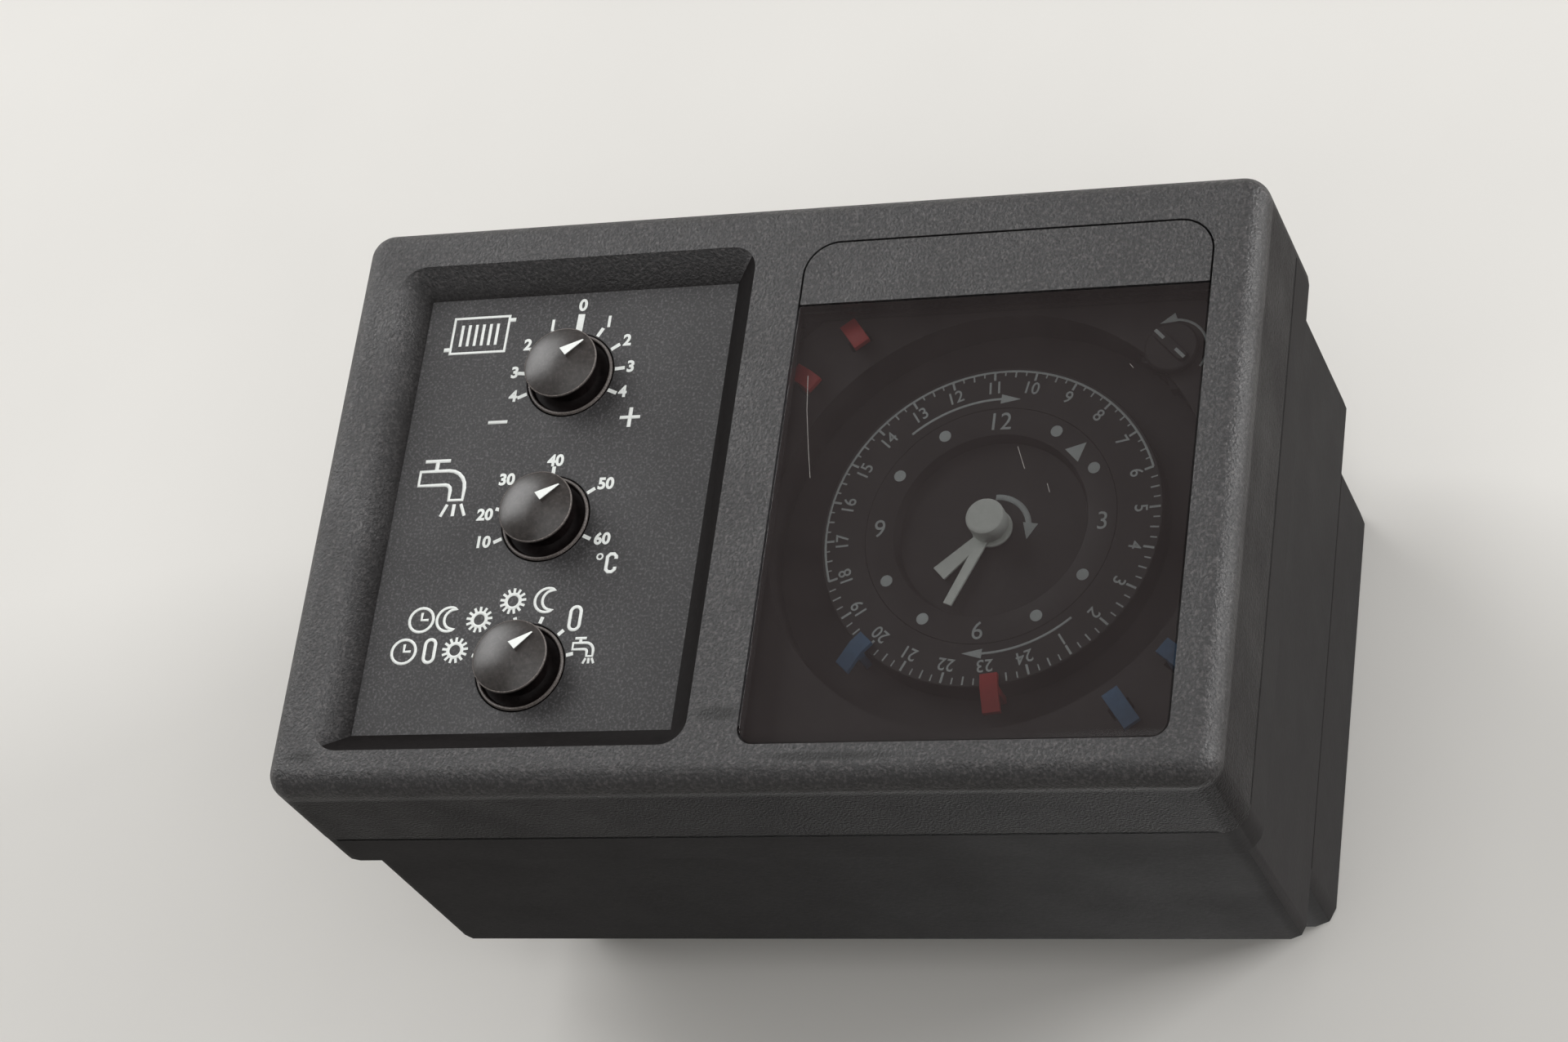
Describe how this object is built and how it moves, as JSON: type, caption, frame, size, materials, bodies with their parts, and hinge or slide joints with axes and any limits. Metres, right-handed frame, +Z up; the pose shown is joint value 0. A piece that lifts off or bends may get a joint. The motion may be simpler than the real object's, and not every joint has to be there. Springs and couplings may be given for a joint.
{
  "type": "wall thermostat",
  "caption": "Flush-mounted heating thermostat: analogue day clock with plug-in riders behind a hinged smoked flap, beside pointer knobs on a recessed printed panel.",
  "frame": {"origin": "on the wall face of the rear base, in line with the centre of the front bezel", "axes": "+X to the right and +Z up as the user faces it, +Y from the front into the wall"},
  "size_m": [0.144, 0.0859, 0.095],
  "materials": {
    "charcoal_plastic": "fine spark-eroded texture",
    "black_plastic": "satin moulded",
    "printed_panel": "satin, screen printed",
    "white_plastic": "satin",
    "red_plastic": "satin moulded",
    "blue_plastic": "satin moulded",
    "smoked_clear": "polished, tinted clear",
    "brass": "rolled and cut",
    "steel": "zinc plated",
    "circuit_board": "solder resist",
    "natural_nylon": "as moulded"
  },
  "bodies": {
    "controller": {"front_bezel": "charcoal_plastic", "main_housing": "black_plastic", "rear_terminal_base": "black_plastic", "control_panel_plate": "printed_panel", "curve_potentiometer": "natural_nylon", "water_potentiometer": "natural_nylon", "mode_switch": "black_plastic", "timer_face": "black_plastic", "clock_face": "black_plastic", "rider_red_spare_1": "red_plastic", "rider_red_spare_2": "red_plastic", "rider_blue_spare_1": "blue_plastic", "rider_blue_spare_2": "blue_plastic", "timer_case": "black_plastic", "timer_bridge": "brass", "timer_motor": "steel", "contact_switch": "black_plastic", "front_board": "circuit_board", "power_board": "circuit_board", "transformer": "steel", "burner_relay": "blue_plastic", "pump_relay": "blue_plastic", "capacitor": "black_plastic", "ribbon_cable": "natural_nylon", "upper_plug": "natural_nylon", "upper_terminal_strip": "natural_nylon", "lower_plug": "natural_nylon", "lower_terminal_strip": "natural_nylon", "case_screw_1": "steel", "case_screw_2": "steel", "case_screw_3": "steel", "case_screw_4": "steel", "base_screw_1": "steel", "base_screw_2": "steel"},
    "curve_control": {"curve_knob": "black_plastic", "curve_pointer": "white_plastic", "curve_spindle": "steel"},
    "water_control": {"water_knob": "black_plastic", "water_pointer": "white_plastic", "water_spindle": "steel"},
    "mode_control": {"mode_knob": "black_plastic", "mode_pointer": "white_plastic", "mode_spindle": "steel"},
    "flap": {"flap_window": "smoked_clear", "flap_grip": "charcoal_plastic"},
    "minute_train": {"minute_arbor": "brass", "minute_hand": "white_plastic", "setting_knob": "white_plastic"},
    "hour_train": {"hour_wheel": "brass", "hour_hand": "white_plastic"},
    "day_train": {"day_dial": "black_plastic", "day_wheel": "natural_nylon", "rider_red_set": "red_plastic", "rider_blue_set": "blue_plastic"},
    "motion_train": {"motion_wheel": "brass"},
    "idler_train": {"day_idler": "natural_nylon"},
    "motor_rotor": {"motor_pinion": "steel"},
    "override": {"override_knob": "black_plastic", "star_wheel": "natural_nylon"}
  },
  "joints": [
    {"name": "curve_turn", "type": "hinge", "parent": "controller", "child": "curve_control", "pos_m": [-0.03505, -0.0835, 0.0218], "axis": [0, 1, 0], "range_deg": [-169, 71]},
    {"name": "water_turn", "type": "hinge", "parent": "controller", "child": "water_control", "pos_m": [-0.03505, -0.0835, -0.0025], "axis": [0, 1, 0], "range_deg": [-168, 68]},
    {"name": "mode_turn", "type": "hinge", "parent": "controller", "child": "mode_control", "pos_m": [-0.03505, -0.0835, -0.0268], "axis": [0, 1, 0], "range_deg": [-121, 30]},
    {"name": "flap_hinge", "type": "hinge", "parent": "controller", "child": "flap", "pos_m": [0.03367, -0.0825, -0.0389], "axis": [1, 0, 0], "range_deg": [0, 95]},
    {"name": "minute_turn", "type": "hinge", "parent": "controller", "child": "minute_train", "pos_m": [0.03366, -0.0765, -0.00475], "axis": [0, 1, 0], "continuous": true},
    {"name": "hour_turn", "type": "hinge", "parent": "controller", "child": "hour_train", "pos_m": [0.03366, -0.0755, -0.00475], "axis": [0, 1, 0], "continuous": true},
    {"name": "day_turn", "type": "hinge", "parent": "controller", "child": "day_train", "pos_m": [0.03366, -0.0745, -0.00475], "axis": [0, 1, 0], "continuous": true},
    {"name": "motion_turn", "type": "hinge", "parent": "controller", "child": "motion_train", "pos_m": [0.03866, -0.0585, -0.01341], "axis": [0, 1, 0], "continuous": true},
    {"name": "idler_turn", "type": "hinge", "parent": "controller", "child": "idler_train", "pos_m": [0.02587, -0.0635, -0.00025], "axis": [0, 1, 0], "continuous": true},
    {"name": "motor_turn", "type": "hinge", "parent": "controller", "child": "motor_rotor", "pos_m": [0.02305, -0.0565, 0.00586], "axis": [0, 1, 0], "continuous": true},
    {"name": "override_turn", "type": "hinge", "parent": "controller", "child": "override", "pos_m": [0.0589, -0.0795, 0.0211], "axis": [0, -1, 0], "range_deg": [0, 90]}
  ],
  "couplings": [
    {"joint": "hour_turn", "follows": "minute_turn", "ratio": 0.083333},
    {"joint": "day_turn", "follows": "minute_turn", "ratio": 0.041667},
    {"joint": "motion_turn", "follows": "minute_turn", "ratio": -0.33333},
    {"joint": "idler_turn", "follows": "minute_turn", "ratio": -0.083333},
    {"joint": "motor_turn", "follows": "minute_turn", "ratio": -5}
  ]
}
